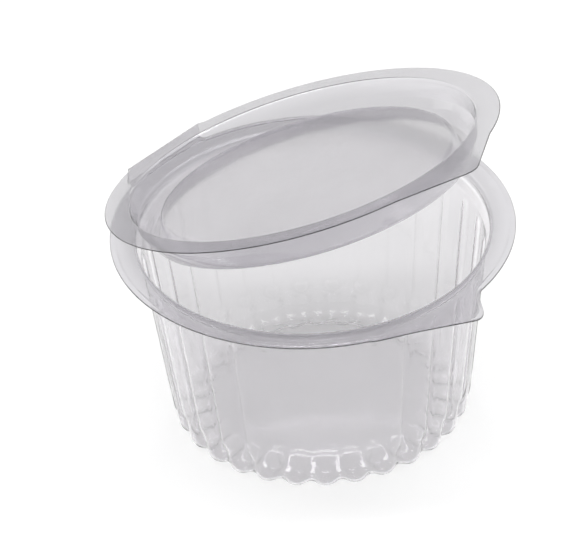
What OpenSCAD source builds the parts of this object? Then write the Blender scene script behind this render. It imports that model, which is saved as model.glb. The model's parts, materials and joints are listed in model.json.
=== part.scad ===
// Clear food container with an attached lid
// One formed sheet makes a round bowl with a fluted wall and a scalloped foot,
// a folded crease at the back of its flange, and a lid that plugs the mouth.
// The origin is the centre of the base, +Z is up, the tabs face -Y and the crease is at +Y.

/* [Sheet] */
// Thickness of the formed sheet
sheet_t = 0.5; // [0.4:0.05:0.7]
// Radius of the small bends across the sheet
bend_r = 1.2; // [0.9:0.1:1.6]

/* [Bowl] */
// Inside diameter of the mouth
mouth_d = 131; // [122:0.5:150]
// Width of the flange round the mouth, the same on bowl and lid
flange_w = 9.5; // [8:0.5:14]
// Height of the flange's top face above the base
rim_h = 80.5; // [65:0.5:110]
// Radius of the roll from the flange into the neck
mouth_round = 1.5; // [1:0.1:2]
// Height of the plain neck, from the flange's top face to the shelf
neck_h = 5; // [4:0.1:8]
// Width of the shelf between the neck and the fluted wall
shelf_w = 1.5; // [1.2:0.1:2.5]
// Outside diameter of the wall, carried straight down to the base
base_d = 113; // [106:0.5:118]
// Outside radius of the corner between the wall and the base
corner_r = 5.6; // [4.5:0.1:7]
// Distance from the wall's foot to the inner edge of the ring that the bowl stands on
foot_w = 7.5; // [6.5:0.1:9]
// Height of the raised floor above that ring
floor_rise = 5; // [3:0.1:7]

/* [Flutes and scallops] */
// Number of flutes in the wall, each with a scallop below it
flute_count = 30; // [20:2:36]
// Depth of the crease between two flutes
flute_depth = 0.7; // [0.3:0.05:1]
// Height of the plain band between the shelf and the flutes
flute_gap = 4; // [2:0.5:8]
// Height over which the flutes fade in below that band
flute_fade = 3; // [2:0.5:10]
// Height of the scallops above the base
scallop_h = 18.5; // [14:0.5:24]
// Height of the rounded head of a scallop
scallop_head = 5; // [3:0.5:7]
// Depth of the crease between two scallops
scallop_depth = 2; // [1.2:0.1:2.6]
// Height to which that crease climbs inside the foot
scallop_ridge = 4; // [2.5:0.1:6]
// Distance from the standing ring to the toe of a scallop
scallop_run = 4; // [3:0.1:6]
// Distance from the toe to the raised floor
scallop_toe = 4; // [3:0.1:6]
// Radius of the toe
toe_r = 3; // [2:0.1:4]

/* [Tabs] */
// Reach of the bowl's tab beyond the flange
bowl_tab_reach = 11.5; // [7:0.5:14]
// Distance from the middle to the tip of the bowl's tab
bowl_tab_side = 7; // [4:0.5:10]
// Angle round the rim over which the bowl's tab ramps out
bowl_tab_ramp = 33; // [28:1:40]
// Radius of the tip of the bowl's tab
bowl_tab_tip_r = 5; // [3:0.5:6]
// Reach of the lid's tab beyond the flange
lid_tab_reach = 10; // [6:0.5:13]
// Angle round the rim from the middle to each end of the lid's tab
lid_tab_half = 22; // [18:1:28]
// Radius of the tip of the lid's tab
lid_tab_tip_r = 13; // [8:0.5:16]

/* [Lid] */
// Width of the flat lip round the lid
lip_w = 3; // [2.5:0.5:4]
// Distance of the shoulder from the lid's edge
shoulder_w = 6.8; // [6:0.1:8]
// Drop of the shoulder below the lip
shoulder_drop = 2.3; // [1.5:0.1:3]
// Clearance between the lid's plug and the mouth
plug_clear = 0.4; // [0.3:0.05:0.8]
// Depth of the plug's groove below the flange's top face
plug_h = 7.6; // [5:0.1:12]
// Inward lean of the plug's outer wall
plug_lean = 3.6; // [2:0.1:5]
// Width of the groove's floor
groove_w = 1.6; // [1.2:0.1:4]
// Inward lean of the groove's inner wall
panel_lean = 1.2; // [0.6:0.1:3]
// Height of the lid's panel above the flange's top face
panel_lift = 0; // [-2:0.1:3]

/* [Hinge] */
// Width of the crease
hinge_w = 39; // [30:1:44]
// Height of the crease above the flange's top face
hinge_rise = 6; // [4:0.1:9]
// Distance by which the crease lies inside the flange's edge
hinge_inset = 0.7; // [0.4:0.1:1.5]
// Diameter of the rolled edge of the crease
bead_d = 1; // [0.8:0.1:1.4]
// Clearance between the rolled edge and the lid
hinge_clear = 0.15; // [0.1:0.05:0.4]
// Angle by which the lid stands open
lid_open = 18; // [0:1:180]

/* [Hidden] */
$fn = 180;

sheet_colour = [0.86, 0.87, 0.87, 0.5];
bend_steps = 4;
bend_share = 0.45;
end_share = 0.9;
mouth_r = mouth_d / 2;
flange_r = mouth_r + flange_w;
base_r = base_d / 2;
foot_ring_r = base_r - foot_w;
toe_in_r = foot_ring_r - scallop_run;
floor_panel_r = toe_in_r - scallop_toe;
flange_in_r = mouth_r + mouth_round;
shelf_z = rim_h - neck_h;
wall_top_r = mouth_r - shelf_w + sheet_t;
steps_per_flute = 6;
wall_steps = flute_count * steps_per_flute;
flute_flat = 2 / 3;
scallop_flat = 1 / 3;
corner_steps = 3;
toe_steps = [2, 1];
floor_land = 3;
hinge_y = flange_r - hinge_inset;
hinge_z = rim_h + hinge_rise;
hinge_splay = 2;
hinge_tongue_len = 4;
hinge_root_y = hinge_y - hinge_tongue_len;
tab_sink = 0.2;
tab_foot_r = flange_r - tab_sink;
tab_overlap = 1;
tab_root_r = flange_in_r + tab_overlap;
bowl_tab_root = 2.5;
bowl_tab_end = 20;
bowl_tab_fillet_r = 8;

// A direction of length 1
function unit(v) = v / norm(v);

// A point at a radius and an angle, counted from the front towards +X
function plan_point(r, a) = [r * sin(a), -r * cos(a)];

// The length that a bend may take up on the stretch of a path that starts at point i
function room(p, i) = norm(p[i + 1] - p[i]) * (i == 0 || i == len(p) - 2 ? end_share : bend_share);

// The points of a bend of radius r at corner i of a path
function bend(p, i, r, steps) =
    let (
        u = unit(p[i - 1] - p[i]),
        v = unit(p[i + 1] - p[i]),
        half = acos(u * v) / 2,
        reach = min(r / tan(half), room(p, i - 1), room(p, i)),
        radius = reach * tan(half),
        centre = p[i] + unit(u + v) * radius / sin(half),
        first = p[i] + u * reach - centre,
        last = p[i] + v * reach - centre
    )
    [for (k = [0 : steps]) centre + radius * unit(first * (steps - k) + last * k)];

// A path with every inner corner bent to the radius and in the steps of the same place in the lists
function bent_path(p, radii, steps = []) = [
    p[0],
    for (i = [1 : len(p) - 2])
        each bend(p, i, radii[i - 1], len(steps) == 0 ? bend_steps : steps[i - 1]),
    p[len(p) - 1]
];

// The direction to the left of the path between points i and i + 1
function left_of(p, i) =
    let (d = unit(p[i + 1] - p[i]))
    [-d[1], d[0]];

// The path moved to its left by t
function beside(p, t) =
    let (last = len(p) - 1)
    [for (i = [0 : last])
        let (m = left_of(p, max(i - 1, 0)) + left_of(p, min(i, last - 1)))
        p[i] + m * 2 * t / (m * m)];

function reversed(p) = [for (i = [len(p) - 1 : -1 : 0]) p[i]];
function rest_of(p) = [for (i = [1 : len(p) - 1]) p[i]];

// A sheet turned about the vertical axis: the path is its upper face
module turned_sheet(path) {
    rotate_extrude()
        polygon(concat(path, reversed(beside(path, sheet_t))));
}

// Outline of the tongue that carries the crease
module hinge_tongue() {
    polygon([
        [-hinge_w / 2, hinge_y],
        [hinge_w / 2, hinge_y],
        [hinge_w / 2 + hinge_splay, hinge_root_y],
        [-hinge_w / 2 - hinge_splay, hinge_root_y]
    ]);
}

// Outline of the bowl's tab: a long ramp on one side, a short edge on the other
module bowl_tab() {
    tip = [-bowl_tab_side, -flange_r - bowl_tab_reach];
    corners = [
        plan_point(tab_foot_r, -bowl_tab_ramp),
        tip,
        plan_point(flange_r, bowl_tab_root),
        plan_point(tab_foot_r, bowl_tab_end)
    ];
    edge = bent_path(corners, [bowl_tab_tip_r, bowl_tab_fillet_r]);
    polygon(concat(edge, [plan_point(tab_root_r, bowl_tab_end), plan_point(tab_root_r, -bowl_tab_ramp)]));
}

// Outline of the lid's tab: a rounded peak with even sides
module lid_tab() {
    side = 90 - lid_tab_half;
    tip_back = lid_tab_tip_r * (1 / sin(side) - 1);
    corners = [
        plan_point(tab_foot_r, -lid_tab_half),
        [0, -flange_r - lid_tab_reach - tip_back],
        plan_point(tab_foot_r, lid_tab_half)
    ];
    edge = bent_path(corners, [lid_tab_tip_r]);
    polygon(concat(edge, [plan_point(tab_root_r, lid_tab_half), plan_point(tab_root_r, -lid_tab_half)]));
}

// The plain wall at a height, and the direction straight out of it
wall_tilt = atan((wall_top_r - base_r) / shelf_z);
wall_out = [cos(wall_tilt), -sin(wall_tilt)];
function wall_point(z) = [base_r + z * tan(wall_tilt), z];

// Heights of the sections through the wall, from the shelf down to the scallops' heads
flute_top_z = shelf_z - flute_gap;
scallop_head_z = scallop_h - scallop_head;
wall_z = [shelf_z, flute_top_z, flute_top_z - flute_fade, scallop_h, scallop_head_z];
crease_depths = [0, 0, flute_depth, flute_depth, scallop_depth];

// The foot from a scallop's head to the standing ring, over a scallop or, a depth inside it, on a crease
function foot_outside(crease) = [
    wall_point(scallop_head_z) - wall_out * scallop_depth * crease,
    [base_r - scallop_depth * crease, 0],
    [foot_ring_r, 0]
];

// The foot from the standing ring to the raised floor: flat over a scallop, climbing on a crease
function foot_inside(crease) = [
    [foot_ring_r, 0],
    [toe_in_r, scallop_ridge * crease],
    [floor_panel_r, floor_rise],
    [floor_panel_r - floor_land, floor_rise]
];

// The line down a flute's crest or down a crease, and on to the raised floor
function section_path(crease) = concat(
    [for (i = [0 : len(wall_z) - 2]) wall_point(wall_z[i]) - wall_out * crease_depths[i] * crease],
    bent_path(foot_outside(crease), [corner_r], [corner_steps]),
    rest_of(bent_path(foot_inside(crease), [toe_r, bend_r], toe_steps))
);

// The same line on the inside of the sheet, level with the shelf at its top
function inside_path(path) =
    let (inner = beside(path, -sheet_t))
    [for (i = [0 : len(path) - 1]) i == 0 ? path[0] - [sheet_t, 0] : inner[i]];

crest_path = section_path(0);
crease_path = section_path(1);
flats = [for (i = [0 : len(crest_path) - 1]) i < len(wall_z) - 1 ? flute_flat : scallop_flat];
crest_inside = inside_path(crest_path);
crease_inside = inside_path(crease_path);

// Share of the way from crease to crest at an angle, with a flat share of the crest
function crest_share(a, flat) = min(1, abs(cos(flute_count * a / 2)) / cos(90 * flat));

// One ring of the skin, between the same points of the crease and the crest
function skin_ring(crease, crest, flat) = [
    for (j = [0 : wall_steps - 1])
        let (
            a = 360 * j / wall_steps,
            p = crease + (crest - crease) * crest_share(a, flat),
            q = plan_point(p[0], a)
        )
        [q[0], q[1], p[1]]
];

// Two triangles between ring a and ring b, at step j
function ring_faces(a, b, j) =
    let (
        k = (j + 1) % wall_steps,
        p = a * wall_steps,
        q = b * wall_steps
    )
    [[p + j, p + k, q + k], [p + j, q + k, q + j]];

// The fluted wall and the floor: a skin lofted from the floor's inside, over the top, to its underside
module fluted_body() {
    last = len(crest_path) - 1;
    rings = concat(
        [for (i = [last : -1 : 0]) skin_ring(crease_inside[i], crest_inside[i], flats[i])],
        [for (i = [0 : last]) skin_ring(crease_path[i], crest_path[i], flats[i])]
    );
    total = len(rings);
    polyhedron(
        points = [for (ring = rings) each ring],
        faces = [
            [for (j = [wall_steps - 1 : -1 : 0]) j],
            for (i = [0 : total - 2])
                for (j = [0 : wall_steps - 1])
                    each ring_faces(i, i + 1, j),
            [for (j = [0 : wall_steps - 1]) (total - 1) * wall_steps + j]
        ]
    );
}

// The flange round the mouth, with the tab and the tongue
module bowl_flange() {
    translate([0, 0, rim_h - sheet_t])
        linear_extrude(sheet_t)
            difference() {
                union() {
                    circle(r = flange_r);
                    bowl_tab();
                    hinge_tongue();
                }
                circle(r = flange_in_r);
            }
}

// The roll at the mouth, the neck and the shelf that the wall hangs from
module bowl_neck() {
    corners = [
        [flange_in_r + 2 * mouth_round, rim_h],
        [mouth_r, rim_h],
        [mouth_r, shelf_z],
        [wall_top_r - sheet_t / 2, shelf_z]
    ];
    turned_sheet(bent_path(corners, [mouth_round, sheet_t / 2]));
}

// The upright web behind the flange, with the rolled edge that the lid folds about
module hinge_web() {
    foot_half = hinge_w / 2 + hinge_splay / 2;
    translate([0, hinge_y + sheet_t / 2, 0])
        rotate([90, 0, 0])
            linear_extrude(sheet_t)
                polygon([
                    [-foot_half, rim_h - sheet_t],
                    [foot_half, rim_h - sheet_t],
                    [hinge_w / 2, hinge_z],
                    [-hinge_w / 2, hinge_z]
                ]);
    translate([0, hinge_y, hinge_z])
        rotate([0, 90, 0])
            cylinder(d = bead_d, h = hinge_w, center = true);
}

module bowl() {
    color(sheet_colour)
        union() {
            fluted_body();
            bowl_neck();
            bowl_flange();
            hinge_web();
        }
}

// The flat lip of the closed lid, with its tab and the straight edge at the crease
module lid_lip() {
    hinge_edge_y = hinge_y - bead_d / 2 - hinge_clear;
    translate([0, 0, hinge_z - sheet_t / 2])
        linear_extrude(sheet_t)
            difference() {
                union() {
                    circle(r = flange_r);
                    lid_tab();
                    hinge_tongue();
                }
                circle(r = flange_r - lip_w);
                translate([-flange_r, hinge_edge_y])
                    square([2 * flange_r, flange_r]);
            }
}

// The dish of the closed lid: a cone down to the mouth, the plug, its groove and the panel
module lid_dish() {
    lip_z = hinge_z + sheet_t / 2;
    seat_r = mouth_r - plug_clear - sheet_t;
    seat_z = rim_h - mouth_round / 2;
    groove_r = seat_r - plug_lean;
    groove_z = rim_h - plug_h;
    panel_r = groove_r - groove_w - panel_lean;
    panel_z = rim_h + panel_lift;
    corners = [
        [flange_r - lip_w + bend_r, lip_z],
        [flange_r - lip_w, lip_z],
        [flange_r - shoulder_w, lip_z - shoulder_drop],
        [seat_r, seat_z],
        [groove_r, groove_z],
        [groove_r - groove_w, groove_z],
        [panel_r, panel_z],
        [0, panel_z]
    ];
    turned_sheet(bent_path(corners, [for (i = [2 : len(corners) - 1]) bend_r]));
}

module lid() {
    color(sheet_colour)
        translate([0, hinge_y, hinge_z])
            rotate([-lid_open, 0, 0])
                translate([0, -hinge_y, -hinge_z])
                    union() {
                        lid_lip();
                        lid_dish();
                    }
}

bowl();
lid();
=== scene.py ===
# %% [markdown]
# # A clear food bowl with a hinged lid
# The object is formed from one clear plastic sheet: a round bowl with a fluted wall and a scalloped
# foot, a folded crease at the back of its rim, and a lid that plugs the mouth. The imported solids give
# the size, the place and the joint. This lesson draws the same sheet with finer curves, gives it the
# look of clear plastic, and sets it in a plain white studio.

# %% Load the frame
import json
import math

import bpy
import numpy as np
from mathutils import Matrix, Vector


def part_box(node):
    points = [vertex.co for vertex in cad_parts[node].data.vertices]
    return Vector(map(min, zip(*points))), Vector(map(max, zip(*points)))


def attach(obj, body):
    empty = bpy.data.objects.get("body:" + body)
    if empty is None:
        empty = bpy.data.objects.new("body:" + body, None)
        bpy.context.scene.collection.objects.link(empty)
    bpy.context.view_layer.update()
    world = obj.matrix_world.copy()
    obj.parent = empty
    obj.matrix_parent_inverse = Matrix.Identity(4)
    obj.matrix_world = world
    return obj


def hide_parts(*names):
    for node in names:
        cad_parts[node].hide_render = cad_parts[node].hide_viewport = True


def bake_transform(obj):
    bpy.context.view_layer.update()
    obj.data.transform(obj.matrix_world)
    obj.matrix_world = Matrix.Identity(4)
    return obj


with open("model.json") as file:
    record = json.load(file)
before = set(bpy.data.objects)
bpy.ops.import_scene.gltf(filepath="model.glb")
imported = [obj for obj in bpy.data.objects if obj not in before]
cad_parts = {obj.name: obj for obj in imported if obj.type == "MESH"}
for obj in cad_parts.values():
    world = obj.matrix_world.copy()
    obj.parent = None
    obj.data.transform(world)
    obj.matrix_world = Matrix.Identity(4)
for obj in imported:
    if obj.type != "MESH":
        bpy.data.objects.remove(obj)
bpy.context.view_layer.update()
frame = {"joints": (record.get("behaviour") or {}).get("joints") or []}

# %% [markdown]
# ## Sizes
# The rim's radius, the crease's place and the lid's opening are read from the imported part, so the
# pieces can't drift away from it. The smaller sizes are written where each piece is drawn. Everything
# is worked out in millimetres and turned into metres where a mesh is made.

# %% Sizes from the frame
MM = 0.001
hinge = frame["joints"][0]
hinge_y = hinge["pos_m"][1] / MM
hinge_z = hinge["pos_m"][2] / MM
lid_open = -hinge["range_deg"][0]
flange_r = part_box("bowl")[1].x / MM
hinge_rise = 6.0
rim_z = hinge_z - hinge_rise
sheet_t = 0.5
print(f"rim radius {flange_r:.2f} mm, rim height {rim_z:.2f} mm, lid open by {lid_open:.0f} degrees")

# %% [markdown]
# ## A sheet as a grid
# A formed sheet has two faces that run side by side and meet at its free edge. A Solidify modifier
# could thicken a single face, but clear plastic bends light at both faces, so both are drawn with care.
# They are rings round the vertical axis, from the middle out to the edge and back again underneath. The
# rings are one grid of points: the first parameter walks along the section, the second one round the
# axis. The steps round the axis are not even. Thirty flutes run round the bowl, and the creases between
# them need more points than the smooth stretches, so the steps draw together at each crease.

# %% Steps round the axis
FLUTES = 30
STEPS_PER_FLUTE = 16
CREASE_PULL = 1.5
even = np.linspace(-1.0, 1.0, STEPS_PER_FLUTE, endpoint=False)
drawn = np.sign(even) * (1.0 - (1.0 - np.abs(even)) ** CREASE_PULL)
turn = ((np.arange(FLUTES)[:, None] + drawn / 2) * 2.0 * np.pi / FLUTES).ravel()
ROUND_STEPS = len(turn)
from_crease = np.tile(1.0 - np.abs(drawn), FLUTES)
print(f"{ROUND_STEPS} steps round the axis, {STEPS_PER_FLUTE} for each flute")


# %% Helpers for rings and meshes
def ring_points(r, z):
    """Points at radius r and height z, with the angle counted from the front (-Y) towards +X:
    x is r times the sine, y is minus r times the cosine."""
    r, z = np.broadcast_arrays(r, z)
    return np.stack([r * np.sin(turn), -r * np.cos(turn), z], axis=-1)


def mesh_from_faces(name, points, quads, triangles):
    """A smooth mesh object from an array of points in millimetres and arrays of corner numbers."""
    corners = np.concatenate([quads.ravel(), triangles.ravel()]).astype(np.int32)
    sizes = np.concatenate([np.full(len(quads), 4), np.full(len(triangles), 3)])
    starts = np.concatenate([[0], np.cumsum(sizes)[:-1]]).astype(np.int32)
    mesh = bpy.data.meshes.new(name)
    mesh.vertices.add(len(points))
    mesh.vertices.foreach_set("co", (points * MM).astype(np.float32).ravel())
    mesh.loops.add(len(corners))
    mesh.loops.foreach_set("vertex_index", corners)
    mesh.polygons.add(len(sizes))
    mesh.polygons.foreach_set("loop_start", starts)
    mesh.polygons.foreach_set("use_smooth", np.ones(len(sizes), bool))
    mesh.update(calc_edges=True)
    mesh.validate()
    piece = bpy.data.objects.new(name, mesh)
    bpy.context.scene.collection.objects.link(piece)
    print(f"{name}: {len(points)} points, {2 * len(quads) + len(triangles)} triangles")
    return piece


def ring_faces(rings):
    """Quads between neighbouring rings, and fans from the last two points to the end rings."""
    number = np.arange(rings * ROUND_STEPS).reshape(rings, ROUND_STEPS)
    ahead = np.roll(number, -1, axis=1)
    quads = np.stack([number[:-1], number[1:], ahead[1:], ahead[:-1]], axis=-1).reshape(-1, 4)
    top, bottom = rings * ROUND_STEPS, rings * ROUND_STEPS + 1
    fans = np.concatenate([
        np.stack([np.full(ROUND_STEPS, top), number[0], ahead[0]], axis=-1),
        np.stack([np.full(ROUND_STEPS, bottom), ahead[-1], number[-1]], axis=-1),
    ])
    return quads, fans


# %% A closed sheet with its layers
EDGE_ROUND = 0.12


def set_layer(piece, label, values):
    """Keeps one number for each point of a piece, which its finish reads by the layer's name."""
    layer = piece.data.attributes.new(label, "FLOAT", "POINT")
    layer.data.foreach_set("value", values.astype(np.float32))


def sheet_piece(name, top_r, top_z, low_r, low_z, layers, place=None):
    """A closed sheet from the grids of its upper and lower face, row 0 in the middle and the last row
    at the edge. The edge is rounded by a ring set out a little, halfway down the sheet's thickness.
    Each layer has one number for each row. place moves the finished points."""
    edge_r = (top_r[-1] + low_r[-1]) / 2 + EDGE_ROUND
    edge_z = (top_z[-1] + low_z[-1]) / 2
    r = np.concatenate([top_r, edge_r[None], low_r[::-1]])
    z = np.concatenate([top_z, edge_z[None], low_z[::-1]])
    points = ring_points(r, z).reshape(-1, 3)
    poles = np.array([[0.0, 0.0, top_z[0].mean()], [0.0, 0.0, low_z[0].mean()]])
    points = np.concatenate([points, poles])
    quads, fans = ring_faces(len(r))
    piece = mesh_from_faces(name, points if place is None else place(points), quads, fans)
    for label, rows in layers.items():
        both_faces = np.concatenate([rows, rows[-1:], rows[::-1]])
        set_layer(piece, label, np.append(np.repeat(both_faces, ROUND_STEPS), [rows[0], rows[0]]))
    return piece


# %% [markdown]
# ## Sections with rounded bends
# A thermoformed sheet has no sharp corner: every bend has a radius. A bevel could round the corners of
# a plain mesh, but here each bend has its own radius, so a section is written as a few corner points
# with their radii, and the bends are drawn as arcs between the straight stretches. The other face of
# the sheet is the same line moved sideways by the sheet's thickness.

# %% Helpers for sections
BEND_STEPS = 6


def bend(before, corner, after, radius):
    """An arc of the given radius that touches both straight stretches at a corner."""
    u = (before - corner) / np.linalg.norm(before - corner)
    v = (after - corner) / np.linalg.norm(after - corner)
    half = math.acos(np.clip(u @ v, -1.0, 1.0)) / 2
    centre = corner + (u + v) / np.linalg.norm(u + v) * radius / math.sin(half)
    first = corner + u * radius / math.tan(half) - centre
    last = corner + v * radius / math.tan(half) - centre
    share = np.linspace(0.0, 1.0, BEND_STEPS)[:, None]
    chord = first * (1 - share) + last * share
    return centre + radius * chord / np.linalg.norm(chord, axis=1, keepdims=True)


def section(corners, radii, line_steps):
    """A path through the corners with bent corners. line_steps points divide each straight stretch."""
    corners = [np.array(c, float) for c in corners]
    bends = [bend(a, b, c, r) for a, b, c, r in zip(corners, corners[1:], corners[2:], radii)]
    ends = [corners[0][None], *bends, corners[-1][None]]
    parts = [ends[0]]
    for arc, following, steps in zip(ends, ends[1:], line_steps):
        share = np.linspace(0.0, 1.0, steps + 2)[1:-1, None]
        parts += [arc[-1] * (1 - share) + following[0] * share, following]
    return np.concatenate(parts)


def across(r, z):
    """The direction to the left of a section that runs outwards: up on a flat stretch."""
    along_r, along_z = np.gradient(r, axis=0), np.gradient(z, axis=0)
    size = np.hypot(along_r, along_z)
    return -along_z / size, along_r / size


def rise(value, start, end):
    """0 at start and before it, 1 at end and past it, with a smooth change between them."""
    share = np.clip((value - start) / (end - start), 0.0, 1.0)
    return share * share * (3 - 2 * share)


# %% [markdown]
# ## The outline of the rim
# Bowl and lid share a round rim. In front each has a tab to lift it by: the bowl's tab is a lopsided
# peak, the lid's tab an even one. At the back a short tongue carries the crease. The tabs could be
# meshes of their own, but they are part of the sheet, so the rim itself is pulled out. Seen from above,
# each straight edge is a radius that depends on the angle, and the outline is the larger of the circle
# and the tab. A smooth minimum rounds the tip, and a smooth maximum fills the inner corner.

# %% Helpers for outlines
FAR = 1e3
MIRROR_X = np.array([-1, 1])
around = (np.degrees(turn) + 180.0) % 360.0 - 180.0
compass = np.stack([np.sin(turn), -np.cos(turn)])


def plan(r, degrees):
    """A point of the plan at a radius and an angle from the front."""
    return np.array([r * math.sin(math.radians(degrees)), -r * math.cos(math.radians(degrees))])


def edge_line(p, q):
    """Radius at which each direction from the axis meets the line through p and q."""
    normal = np.array([p[1] - q[1], q[0] - p[0]])
    facing = normal @ compass
    with np.errstate(divide="ignore"):
        r = (normal @ p) / facing
    return np.where(r > 0, np.minimum(r, FAR), FAR)


def smooth_min(a, b, width):
    """The smaller of a and b, lowered by a quarter of width where they cross."""
    near = np.maximum(width - np.abs(a - b), 0.0) / width
    return np.minimum(a, b) - near * near * width / 4


def smooth_max(a, b, width):
    """The larger of a and b, raised by a quarter of width where they cross."""
    return -smooth_min(-a, -b, width)


# %% The two tabs
TAB_SINK = 0.2
bowl_tab_len, bowl_tab_side, bowl_tip_round = 11.5, -7.0, 6.8
ramp_start, ramp_end, tab_root_turn = -33.0, 20.0, 2.5
tab_tip = np.array([bowl_tab_side, -flange_r - bowl_tab_len])
long_edge = edge_line(plan(flange_r - TAB_SINK, ramp_start), tab_tip)
short_edge = edge_line(tab_tip, plan(flange_r, tab_root_turn))
bowl_tab = smooth_min(long_edge, short_edge, bowl_tip_round)
bowl_tab = np.where((around > ramp_start) & (around < ramp_end), bowl_tab, 0.0)

lid_tab_len, lid_tab_half, lid_tip_round = 11.0, 22.0, 4.1
lid_peak = np.array([0.0, -flange_r - lid_tab_len])
lid_side = plan(flange_r - TAB_SINK, lid_tab_half)
left_edge, right_edge = edge_line(lid_side * MIRROR_X, lid_peak), edge_line(lid_peak, lid_side)
lid_tab = smooth_min(left_edge, right_edge, lid_tip_round)
lid_tab = np.where(np.abs(around) < lid_tab_half, lid_tab, 0.0)
print(f"tabs reach {bowl_tab.max() - flange_r:.1f} and {lid_tab.max() - flange_r:.1f} mm past the rim")

# %% The tongue at the back and the two outlines
hinge_w, hinge_splay, tongue_len, hinge_gap = 39.0, 2.0, 4.0, 0.65
BACK_FROM = 150.0
LEAST_COSINE = 0.1
tab_fill = 2.8
tongue_corner = np.array([hinge_w / 2, hinge_y])
tongue_foot = tongue_corner + np.array([hinge_splay, -tongue_len])
at_back = np.abs(around) > BACK_FROM
tongue_right = edge_line(tongue_foot, tongue_corner)
tongue_left = edge_line(tongue_corner * MIRROR_X, tongue_foot * MIRROR_X)
tongue = np.where(at_back, np.minimum(tongue_right, tongue_left), 0.0)


def straight_back(y):
    """Radius of a straight edge across the back: its distance y behind the axis over the cosine."""
    return np.where(at_back, y / np.maximum(-np.cos(turn), LEAST_COSINE), FAR)


bowl_rim = smooth_max(np.full(ROUND_STEPS, flange_r), bowl_tab, tab_fill)
bowl_rim = np.maximum(bowl_rim, np.minimum(tongue, straight_back(hinge_y)))
lid_rim = np.maximum(np.maximum(flange_r, lid_tab), tongue)
lid_rim = np.minimum(lid_rim, straight_back(hinge_y - hinge_gap))
print(f"bowl rim {bowl_rim.min():.2f} to {bowl_rim.max():.2f} mm")
print(f"lid rim {lid_rim.min():.2f} to {lid_rim.max():.2f} mm")

# %% [markdown]
# ## The bowl
# From the middle outwards the section goes over a raised floor, down to the foot that the bowl stands
# on, round the corner, up the leaning wall, over a soft step and the plain neck to the flat flange.
# Thirty flutes run down the wall and swell into thirty scallops that wrap round the foot. Each scallop
# could be a pad set on a plain bowl, but the real ones are pressed from the one sheet. So two sections
# are drawn, one over a scallop and one along the crease between two of them, where the sheet falls from
# the floor in one straight ridge. Every ring then swings between the two sections.

# %% Sizes of the bowl's section
mouth_r, shelf_w, neck_h = 65.5, 1.5, 5.0
base_r, corner_r = 56.5, 5.6
foot_w, floor_rise, floor_bend_r = 5.4, 5.0, 6.0
scallop_run, scallop_toe, toe_r = 4.6, 5.5, 4.0
scallop_h, scallop_head, scallop_depth = 18.5, 9.5, 2.0
ridge_drop, ridge_r = 1.5, 5.0
flute_depth, flute_gap, flute_fade = 0.7, 4.0, 3.0
step_fall, step_lift, step_r = 2.0, 1.5, 3.0
flat_r, flange_bend_r = 72.0, 1.2
first_ring_r = 2.0
flange_low_z = rim_z - sheet_t
shelf_low_z = rim_z - neck_h - sheet_t
wall_top_r = mouth_r - shelf_w + sheet_t
neck_out_r = mouth_r + sheet_t
toe_start_r = base_r - foot_w - scallop_run
floor_panel_r = toe_start_r - scallop_toe
head_z = scallop_h - scallop_head
wall_lean = math.atan2(wall_top_r - base_r, shelf_low_z)
wall_out = np.array([math.cos(wall_lean), -math.sin(wall_lean)])
print(f"floor radius {floor_panel_r:.1f} mm, wall leans by {math.degrees(wall_lean):.1f} degrees")


# %% The foot over a scallop and along a crease
def wall_point(z):
    """A point of the plain wall at height z: a straight line from the base to the shelf."""
    return np.array([base_r + z * math.tan(wall_lean), z])


FLOOR_STEPS, CORNER_STEPS = 4, 4
TOE_STEPS = [1, 4]
RIDGE_STEPS = sum(TOE_STEPS) + BEND_STEPS
floor_start = [(first_ring_r, floor_rise), (floor_panel_r, floor_rise)]
crest_foot = section(
    [*floor_start, (toe_start_r, 0.0), (base_r, 0.0), wall_point(head_z)],
    [floor_bend_r, toe_r, corner_r],
    [FLOOR_STEPS, *TOE_STEPS, CORNER_STEPS],
)
ridge_end = (base_r - scallop_depth, -ridge_drop)
crease_foot = section(
    [*floor_start, ridge_end, wall_point(head_z) - wall_out * scallop_depth],
    [floor_bend_r, ridge_r],
    [FLOOR_STEPS, RIDGE_STEPS, CORNER_STEPS],
)
print(f"foot: {len(crest_foot)} rows from the middle of the floor to {head_z:.1f} mm up the wall")

# %% The wall and the neck
HEAD_CLEAR, STEP_CLEAR = 2.0, 1.0
HEAD_ROWS, MIDDLE_ROWS, TOP_ROWS = 8, 10, 7
NECK_STEPS = [0, 1, 1, 3]
stops = [
    head_z,
    scallop_h + HEAD_CLEAR,
    shelf_low_z - flute_gap - flute_fade,
    shelf_low_z - step_fall - STEP_CLEAR,
]
stretches = zip(stops, stops[1:], (HEAD_ROWS, MIDDLE_ROWS, TOP_ROWS))
wall_z = np.concatenate([np.linspace(start, end, rows + 1)[1:] for start, end, rows in stretches])
wall_line = np.stack([wall_point(z) for z in wall_z])
neck_line = section(
    [
        wall_point(wall_z[-1]),
        wall_point(shelf_low_z - step_fall),
        (neck_out_r, shelf_low_z + step_lift),
        (neck_out_r, flange_low_z),
        (flat_r, flange_low_z),
    ],
    [step_r, step_r, flange_bend_r],
    NECK_STEPS,
)[1:]
print(f"wall: {len(wall_line)} rows, neck: {len(neck_line)} rows")

# %% [markdown]
# ## Flutes and scallops
# How far a point lies from the nearest crease decides its depth. A flute is a flat stretch of wall with
# a narrow groove at each crease, and the groove is one wave of a cosine. A scallop is round from crease
# to crease: its depth is a wider cosine, raised to a power so that the lobes are fuller than the
# valleys. A bump map could draw both on a plain wall, but formed in the mesh they also shape the
# outline and bend the light. Down the scallop's head the groove hands over to the valley, slowly at
# first and faster towards the foot.

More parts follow.
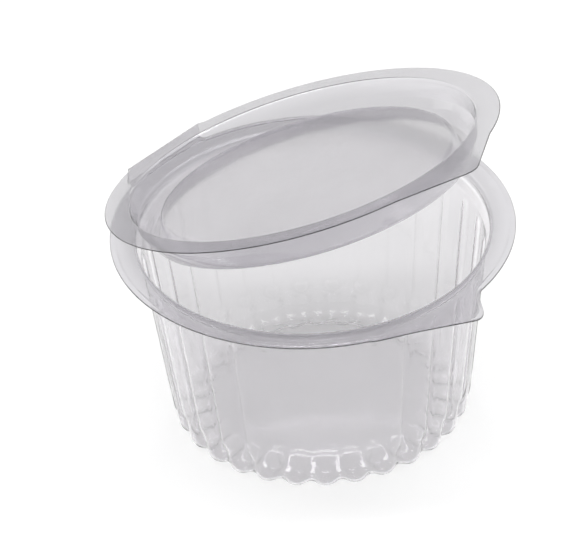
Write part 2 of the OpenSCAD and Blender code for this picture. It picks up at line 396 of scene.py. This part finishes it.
# %% The skin of the bowl
FLUTE_GROOVE = 0.36
VALLEY_POWER = 1.3
HEAD_POWER = 2
groove = (1.0 + np.cos(np.pi * np.clip(from_crease / FLUTE_GROOVE, 0.0, 1.0))) / 2
valley = ((1.0 + np.cos(np.pi * from_crease)) / 2) ** VALLEY_POWER
flute_top = shelf_low_z - flute_gap
flute_part = flute_depth * rise(wall_z, flute_top, flute_top - flute_fade)[:, None] * groove
scallop_part = rise(wall_z, scallop_h, head_z)[:, None] ** HEAD_POWER
wall_depth = flute_part * (1 - scallop_part) ** HEAD_POWER + scallop_depth * valley * scallop_part
foot_skin = crest_foot[:, None] + (crease_foot - crest_foot)[:, None] * valley[None, :, None]
wall_skin = wall_line[:, None] - wall_out * wall_depth[..., None]
neck_skin = np.repeat(neck_line[:, None], ROUND_STEPS, axis=1)
low_r, low_z = np.moveaxis(np.concatenate([foot_skin, wall_skin, neck_skin]), -1, 0)
side_r, side_z = across(low_r, low_z)
top_r, top_z = low_r + side_r * sheet_t, low_z + side_z * sheet_t
print(f"skin: {low_r.shape[0]} rows of {low_r.shape[1]} points, {wall_depth.max():.2f} mm deep at most")

# %% [markdown]
# ## The flange
# The flange is flat, with a border along its cut edge that lies a little lower. The border could be a
# line in the finish, but as a small step in the mesh it catches the light. The rows follow the rim's
# outline, tab and tongue included. A layer on the points mixes a darker tint into the neck and the
# flange and leaves the drawn wall thin and clear: the darker tint is partly the full thickness of the
# undrawn sheet and partly painted shade that makes the flange look greyer.

# %% The flange and its border
BORDER_W, BORDER_DROP, BORDER_BEND = 1.7, 0.2, 0.3
EDGE_ROW = 0.2
FULL_GAUGE_AND_SHADE_BELOW = 1.0
border_r = bowl_rim - BORDER_W
flat_rows = [(flat_r + border_r) / 2, border_r - BORDER_BEND]
border_rows = [border_r, bowl_rim - BORDER_W / 2, bowl_rim - EDGE_ROW, bowl_rim]
rim_rows = np.stack([*flat_rows, *border_rows])
rim_drop = np.zeros_like(rim_rows)
rim_drop[len(flat_rows):] = BORDER_DROP
top_r, top_z = np.concatenate([top_r, rim_rows]), np.concatenate([top_z, rim_z - rim_drop])
low_r, low_z = np.concatenate([low_r, rim_rows]), np.concatenate([low_z, flange_low_z - rim_drop])
# Darker tint from the neck up to the flange: partly the thicker undrawn sheet, partly painted shade.
bowl_gauge_and_shade = rise(top_z.mean(axis=1), rim_z - neck_h, rim_z - FULL_GAUGE_AND_SHADE_BELOW)
bowl = sheet_piece("bowl_shell", top_r, top_z, low_r, low_z, {"gauge": bowl_gauge_and_shade})
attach(bowl, "bowl")
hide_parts("bowl")

# %% [markdown]
# ## The lid
# The lid is a dish of the same sheet: a flat panel, a groove round it, a steep outer wall that plugs
# the mouth, and a flat lip about as wide as the flange. It could be drawn open at once, but a level
# section is easier to read, so it is drawn closed and then turned up about the crease by the angle at
# which it stands open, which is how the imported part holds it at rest.

# %% The lid's section
lip_w, shoulder_w, shoulder_drop = 9.2, 9.6, 2.3
plug_clear, plug_h, plug_lean = 0.4, 7.6, 3.6
groove_w, panel_lean, mouth_round = 3.0, 2.4, 1.5
bend_r, panel_bend_r, groove_in_r, groove_out_r = 1.2, 2.4, 0.75, 0.9
lid_t = 0.3
LID_STEPS = [10, 3, 0, 3, 3, 2, 1]
lip_z = hinge_z + sheet_t / 2
seat_r = mouth_r - plug_clear - sheet_t
seat_z = rim_z - mouth_round / 2
groove_r, groove_z = seat_r - plug_lean, rim_z - plug_h
panel_r = groove_r - groove_w - panel_lean
lip_r = flange_r - lip_w
lip_start = lip_r + bend_r
lid_path = section(
    [
        (first_ring_r, rim_z),
        (panel_r, rim_z),
        (groove_r - groove_w, groove_z),
        (groove_r, groove_z),
        (seat_r, seat_z),
        (flange_r - shoulder_w, lip_z - shoulder_drop),
        (lip_r, lip_z),
        (lip_start, lip_z),
    ],
    [panel_bend_r, groove_in_r, groove_out_r, bend_r, bend_r, bend_r],
    LID_STEPS,
)
print(f"lid section: {len(lid_path)} rows, panel radius {panel_r:.1f} mm")


# %% The lid, turned open about the crease
def open_lid(points):
    """Turns points of the closed lid up about the crease, an axis along X, by the opening angle."""
    c, s = math.cos(math.radians(lid_open)), math.sin(math.radians(lid_open))
    y, z = points[:, 1] - hinge_y, points[:, 2] - hinge_z
    return np.stack([points[:, 0], hinge_y + c * y + s * z, hinge_z - s * y + c * z], axis=-1)


# The lid's lip, shoulder, plug and groove get the darker tint and the panel stays nearly clear: partly
# the sheet's thickness, partly painted shade that darkens the bands round the panel.
LID_GAUGE_AND_SHADE, PANEL_GAUGE_AND_SHADE = 0.8, 0.1
lid_r, lid_z = lid_path.T
left_r, left_z = across(lid_r, lid_z)
whole_turn = np.ones(ROUND_STEPS)
lip_rows = np.stack([(lip_start + lid_rim) / 2, lid_rim - EDGE_ROW, lid_rim])
lip_top, lip_low = np.full_like(lip_rows, lip_z), np.full_like(lip_rows, lip_z - lid_t)
lid_top_r = np.concatenate([lid_r[:, None] * whole_turn, lip_rows])
lid_top_z = np.concatenate([lid_z[:, None] * whole_turn, lip_top])
lid_low_r = np.concatenate([(lid_r - left_r * lid_t)[:, None] * whole_turn, lip_rows])
lid_low_z = np.concatenate([(lid_z - left_z * lid_t)[:, None] * whole_turn, lip_low])
on_panel = rise(lid_top_r.mean(axis=1), panel_r, panel_r - bend_r)
lid_layers = {"gauge": LID_GAUGE_AND_SHADE + (PANEL_GAUGE_AND_SHADE - LID_GAUGE_AND_SHADE) * on_panel, "haze": on_panel}
lid = sheet_piece("lid_dish", lid_top_r, lid_top_z, lid_low_r, lid_low_z, lid_layers, open_lid)
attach(lid, "lid")
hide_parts("lid")

# %% [markdown]
# ## The crease
# Bowl and lid are one sheet, folded at the back. The fold is a short strip that stands up from the
# flange and turns over to the lid's edge. A rigid strip would tear when the lid moves, and this one is
# rigid: it is a bent section swept along X, drawn where the lid stands at rest, and it isn't joined to
# bowl or lid. The last steps along X are short, so that the long faces keep a clean shade right up to
# the ends.

# %% The section of the folded strip
strip_t, strip_bend_r = 0.2, 0.3
strip_clear, lid_reach = 0.02, 0.05
FOLD_STEPS = [8, 2]
strip_back = hinge_y + strip_t / 2 + strip_clear
lid_edge = open_lid(np.array([[0.0, hinge_y - hinge_gap + lid_reach, hinge_z + lid_reach]]))[0]
strip_path = section(
    [(strip_back, rim_z - sheet_t), (strip_back, hinge_z), (lid_edge[1], lid_edge[2])],
    [strip_bend_r],
    FOLD_STEPS,
)
strip_y, strip_z = strip_path.T
half_y, half_z = (side * strip_t / 2 for side in across(strip_y, strip_z))
loop_y = np.concatenate([strip_y + half_y, (strip_y - half_y)[::-1]])
loop_z = np.concatenate([strip_z + half_z, (strip_z - half_z)[::-1]])
print(f"strip section: {len(strip_path)} points on each face")

# %% The strip, swept along X
STRIP_STEPS = 24
STRIP_END = 0.996
# The strip's haze adds to its roughness. Its tint sits low on the scale of thickness and painted shade,
# so the fold stays nearly clear.
STRIP_HAZE, STRIP_GAUGE_AND_SHADE = 2.0, 0.3
strip_half = hinge_w / 2 + hinge_splay / 2 * np.clip((hinge_z - loop_z) / hinge_rise, 0.0, 1.0)
strip_share = np.concatenate([[-1.0], np.linspace(-STRIP_END, STRIP_END, STRIP_STEPS - 2), [1.0]])
strip_x = strip_share[:, None] * strip_half
strip_points = np.stack([strip_x, loop_y + 0 * strip_x, loop_z + 0 * strip_x], axis=-1).reshape(-1, 3)
loop_n = len(loop_y)
strip_number = np.arange(len(strip_points)).reshape(STRIP_STEPS, loop_n)
strip_ahead = np.roll(strip_number, -1, axis=1)
long_quads = np.stack(
    [strip_number[:-1], strip_number[1:], strip_ahead[1:], strip_ahead[:-1]], axis=-1
).reshape(-1, 4)
end_rows = np.arange(loop_n // 2 - 1)
end_quads = np.stack([end_rows, loop_n - 1 - end_rows, loop_n - 2 - end_rows, end_rows + 1], axis=-1)
strip_quads = np.concatenate([long_quads, end_quads[:, ::-1], strip_number[-1][end_quads]])
strip = mesh_from_faces("hinge_strip", strip_points, strip_quads, np.zeros((0, 3), int))
set_layer(strip, "haze", np.full(len(strip_points), STRIP_HAZE))
set_layer(strip, "gauge", np.full(len(strip_points), STRIP_GAUGE_AND_SHADE))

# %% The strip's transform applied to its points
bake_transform(strip)

# %% [markdown]
# ## Shader maths as Python
# A material is a graph of small nodes. It could be wired by hand, node by node, but as Python
# expressions it stays readable: a small class wraps a socket, its operators add Math nodes, and one
# method makes any other node.


# %% A wrapper for sockets
class Value:
    """A shader socket that can be used in sums and products. Each operator adds one Math node."""

    def __init__(self, tree, socket):
        self.tree = tree
        self.socket = socket

    def node(self, kind, output=0, settings=None, **inputs):
        """Adds a node of a type, sets its settings first and then its sockets, and wraps one output.
        A socket is given by its name with _ for a space, or by in and its number."""
        made = self.tree.nodes.new(kind)
        for key, value in (settings or {}).items():
            setattr(made, key, value)
        for key, value in inputs.items():
            name = int(key[2:]) if key.startswith("in") else key.replace("_", " ")
            put(self.tree, made.inputs[name], value)
        return Value(self.tree, made.outputs[output])

    def math(self, operation, *values):
        """A Math node on this value and others."""
        inputs = {f"in{i}": v for i, v in enumerate((self, *values))}
        return self.node("ShaderNodeMath", settings={"operation": operation}, **inputs)

    def __add__(self, other):
        return self.math("ADD", other)

    def __sub__(self, other):
        return self.math("SUBTRACT", other)

    def __rsub__(self, other):
        return self.node("ShaderNodeMath", settings={"operation": "SUBTRACT"}, in0=other, in1=self)

    def __mul__(self, other):
        return self.math("MULTIPLY", other)

    __radd__ = __add__
    __rmul__ = __mul__


def put(tree, socket, value):
    """Links a wrapped value to a socket, or sets the socket to a plain number or colour."""
    if isinstance(value, Value):
        tree.links.new(value.socket, socket)
    else:
        socket.default_value = value


def new_material(name):
    """An empty material, and a starting point for its expressions: the piece's own coordinates."""
    material = bpy.data.materials.new(name)
    material.use_nodes = True
    tree = material.node_tree
    tree.nodes.clear()
    coordinates = tree.nodes.new("ShaderNodeTexCoord")
    return material, Value(tree, coordinates.outputs["Object"])


def finish_material(at, shader):
    """Sends a shader to the material's output."""
    output = at.tree.nodes.new("ShaderNodeOutputMaterial")
    put(at.tree, output.inputs["Surface"], shader)


# %% [markdown]
# ## Clear plastic
# The sheet is clear and glossy. It could be a mix of transparency and gloss, but light bends at the
# flutes and scallops, so it is a dielectric with real thickness. A layer on the points mixes two tints:
# a nearly clear one where the sheet was drawn thin, and a darker one that is partly the full thickness
# of the undrawn sheet and partly painted shade, which greys the flange and the lid's bands. The lid's
# panel and the folded strip are slightly hazy, which the layer named haze adds to the roughness. The
# sheet was stretched while it was soft, which leaves slow waves, finer ripples that run up the wall, and
# patches where tint and gloss are less even.

# %% Patterns and layers of the sheet
sheet_mat, at = new_material("clear_sheet")
WAVE_SCALE, RIPPLE_SCALE, PATCH_SCALE = 55.0, 260.0, 30.0
WAVE_SHARE, RIPPLE_SHARE = 0.7, 0.3
RIPPLE_STRETCH = (1.0, 1.0, 0.12)


def noise(scale, detail, vector=at):
    """A soft random pattern between 0 and 1, with scale in waves per metre."""
    return vector.node("ShaderNodeTexNoise", Vector=vector, Scale=scale, Detail=detail, Roughness=0.5)


def layer(label):
    """The number that each point of a piece keeps under a name, and 0 where it has none."""
    return at.node("ShaderNodeAttribute", output="Fac", settings={"attribute_name": label})


stretched = at.node("ShaderNodeMapping", Vector=at, Scale=RIPPLE_STRETCH)
waves = noise(WAVE_SCALE, 1.0)
ripples = noise(RIPPLE_SCALE, 2.0, stretched)
patches = noise(PATCH_SCALE, 3.0)
height = waves * WAVE_SHARE + ripples * RIPPLE_SHARE
bumped = at.node("ShaderNodeBump", Strength=0.05, Distance=0.002, Height=height)
# The layer that holds the sheet's thickness and painted shade, and the layer of haze.
gauge, haze = layer("gauge"), layer("haze")
print("sheet patterns:", len(sheet_mat.node_tree.nodes), "nodes")

# %% The finish of the sheet
# A nearly clear tint for the drawn sheet, and a darker one for the full sheet that also carries painted
# shade.
SHEET_THIN = (0.955, 0.945, 0.962, 1.0)
SHEET_FULL_AND_SHADE = (0.755, 0.745, 0.77, 1.0)
PATCH_TINT = 0.3
ROUGH_BASE, ROUGH_PATCH, ROUGH_HAZE = 0.045, 0.05, 0.03
# The mix follows the layer of thickness and painted shade, with random patches on top.
thickness = gauge + (patches - 0.5) * PATCH_TINT
tint = at.node(
    "ShaderNodeMix",
    output=2,
    settings={"data_type": "RGBA"},
    in0=thickness,
    in6=SHEET_THIN,
    in7=SHEET_FULL_AND_SHADE,
)
sheet_shader = at.node(
    "ShaderNodeBsdfPrincipled",
    Base_Color=tint,
    Roughness=ROUGH_BASE + patches * ROUGH_PATCH + haze * ROUGH_HAZE,
    IOR=1.55,
    Transmission_Weight=1.0,
    Normal=bumped,
)
finish_material(at, sheet_shader)
for piece in (bowl, lid, strip):
    piece.data.materials.append(sheet_mat)
print("sheet finish:", len(sheet_mat.node_tree.nodes), "nodes")

# %% [markdown]
# ## The floor
# The photograph's ground is plain white. A white floor under strong lamps would give that, but it would
# also light the plastic from below. So the floor is a pale grey plane that catches the shadow, and it
# adds light of its own only for rays that the camera sends, also through or off the plastic.

# %% Floor
FLOOR_HALF = 4.0
FLOOR_DROP = 0.0003
FLOOR_GREY = (0.5, 0.5, 0.5, 1.0)
FLOOR_LIFT = 0.482
WHITE = (1.0, 1.0, 1.0, 1.0)
floor_corners = [(-1, -1), (1, -1), (1, 1), (-1, 1)]
floor_points = [(x * FLOOR_HALF, y * FLOOR_HALF, -FLOOR_DROP) for x, y in floor_corners]
floor_mesh = bpy.data.meshes.new("floor")
floor_mesh.from_pydata(floor_points, [], [(0, 1, 2, 3)])
floor = bpy.data.objects.new("floor", floor_mesh)
bpy.context.scene.collection.objects.link(floor)

floor_mat, ground = new_material("pale_floor")
path = ground.tree.nodes.new("ShaderNodeLightPath")
seen = Value(ground.tree, path.outputs["Is Camera Ray"])
seen = seen.math("MAXIMUM", Value(ground.tree, path.outputs["Is Glossy Ray"]))
seen = seen.math("MAXIMUM", Value(ground.tree, path.outputs["Is Transmission Ray"]))
matt = ground.node("ShaderNodeBsdfDiffuse", Color=FLOOR_GREY)
lift = ground.node("ShaderNodeEmission", Color=WHITE, Strength=seen * FLOOR_LIFT)
finish_material(ground, ground.node("ShaderNodeAddShader", in0=matt, in1=lift))
floor.data.materials.append(floor_mat)
print(f"floor: {2 * FLOOR_HALF:.0f} m wide, lifted by {FLOOR_LIFT} for the camera")

# %% [markdown]
# ## The studio
# The studio is a soft grey all round, a little darker overhead, and white where the camera sees it. The
# key lamp stands on the camera's side and throws the shadow behind the object, so the plastic is seen
# against a grey ground. The gloss doesn't mirror it. A long soft lamp overhead is mirrored by the ridges
# of the foot, which gives each of them a white glint, and a small lamp behind adds a few more.

# %% World
SKY_LOW, SKY_HIGH, SKY_TOP = 0.40, 0.32, 0.9
world = bpy.data.worlds.new("studio")
bpy.context.scene.world = world
world.use_nodes = True
sky_tree = world.node_tree
sky_tree.nodes.clear()
sky_path = sky_tree.nodes.new("ShaderNodeLightPath")
sky_coordinates = sky_tree.nodes.new("ShaderNodeTexCoord")
looked_at = Value(sky_tree, sky_path.outputs["Is Camera Ray"])
direction = Value(sky_tree, sky_coordinates.outputs["Generated"])
up = direction.node("ShaderNodeSeparateXYZ", output=2, Vector=direction)
grey = direction.node(
    "ShaderNodeMapRange", Value=up, From_Min=0.0, From_Max=SKY_TOP, To_Min=SKY_LOW, To_Max=SKY_HIGH
)
sky = direction.node("ShaderNodeBackground", Color=WHITE, Strength=grey + looked_at * (1 - grey))
sky_out = sky_tree.nodes.new("ShaderNodeOutputWorld")
put(sky_tree, sky_out.inputs["Surface"], sky)
print("studio:", len(sky_tree.nodes), "nodes")


# %% Lamps
def soft_lamp(name, place, size, power, mirrored):
    """A square soft lamp at a place, turned towards the object's middle. A lamp that isn't mirrored
    lights the scene and leaves no bright patch on the gloss."""
    light = bpy.data.lights.new(name, "AREA")
    light.size, light.energy = size, power
    lamp = bpy.data.objects.new(name, light)
    lamp.location = place
    lamp.rotation_euler = (OBJECT_MIDDLE - Vector(place)).to_track_quat("-Z", "Y").to_euler()
    lamp.visible_glossy = mirrored
    lamp.visible_transmission = mirrored
    bpy.context.scene.collection.objects.link(lamp)
    print(f"{name}: {power} W, {size} m")
    return lamp


OBJECT_MIDDLE = Vector((0.0, 0.0, 0.06))
STRIP_LAMP_W = 0.2
STRIP_LAMP_TURN = math.radians(-47.0)
soft_lamp("key_lamp", (-2.39, -2.21, 2.33), 0.25, 150.0, False)
strip_lamp = soft_lamp("strip_lamp", (0.0, 0.0, 1.3), 1.8, 8.0, True)
strip_lamp.data.shape = "RECTANGLE"
strip_lamp.data.size_y = STRIP_LAMP_W
strip_lamp.rotation_euler = (0.0, 0.0, STRIP_LAMP_TURN)
soft_lamp("back_lamp", (0.61, 0.57, 1.0), 0.15, 1.0, True)

# %% [markdown]
# ## The camera
# The camera stands where the photograph was taken from: to the front left, looking down by about 35
# degrees, with a long lens and the picture's slight roll. A Track To constraint could aim it, but it
# leaves out the roll, so the camera's three axes are worked out and set as one matrix. Light passes
# many faces of the sheet, so its path is allowed more bends than usual.

# %% Camera
CAM_AZIMUTH = math.radians(-47.217)
CAM_ELEVATION = math.radians(35.506)
CAM_ROLL = math.radians(-3.592)
CAM_TARGET = np.array([3.76, 15.56, 52.44]) * MM
CAM_DISTANCE = 1.1757
FOCAL_PX, IMAGE_W, SENSOR = 3106.0, 582.0, 36.0
LIGHT_BOUNCES = 24
back = np.array([
    math.sin(CAM_AZIMUTH) * math.cos(CAM_ELEVATION),
    -math.cos(CAM_AZIMUTH) * math.cos(CAM_ELEVATION),
    math.sin(CAM_ELEVATION),
])
level = np.array([math.cos(CAM_AZIMUTH), math.sin(CAM_AZIMUTH), 0.0])
upright = np.cross(back, level)
right = math.cos(CAM_ROLL) * level + math.sin(CAM_ROLL) * upright
over = -math.sin(CAM_ROLL) * level + math.cos(CAM_ROLL) * upright
camera_data = bpy.data.cameras.new("camera")
camera_data.sensor_width = SENSOR
camera_data.lens = FOCAL_PX * SENSOR / IMAGE_W
camera = bpy.data.objects.new("camera", camera_data)
pose = np.eye(4)
pose[:3, 0], pose[:3, 1], pose[:3, 2] = right, over, back
pose[:3, 3] = CAM_TARGET + back * CAM_DISTANCE
camera.matrix_world = pose.T.tolist()
scene = bpy.context.scene
scene.collection.objects.link(camera)
scene.camera = camera
scene.view_settings.view_transform = "Standard"
scene.cycles.max_bounces = LIGHT_BOUNCES
scene.cycles.transmission_bounces = LIGHT_BOUNCES
print(f"camera: {camera_data.lens:.0f} mm lens, {CAM_DISTANCE:.2f} m from its target")
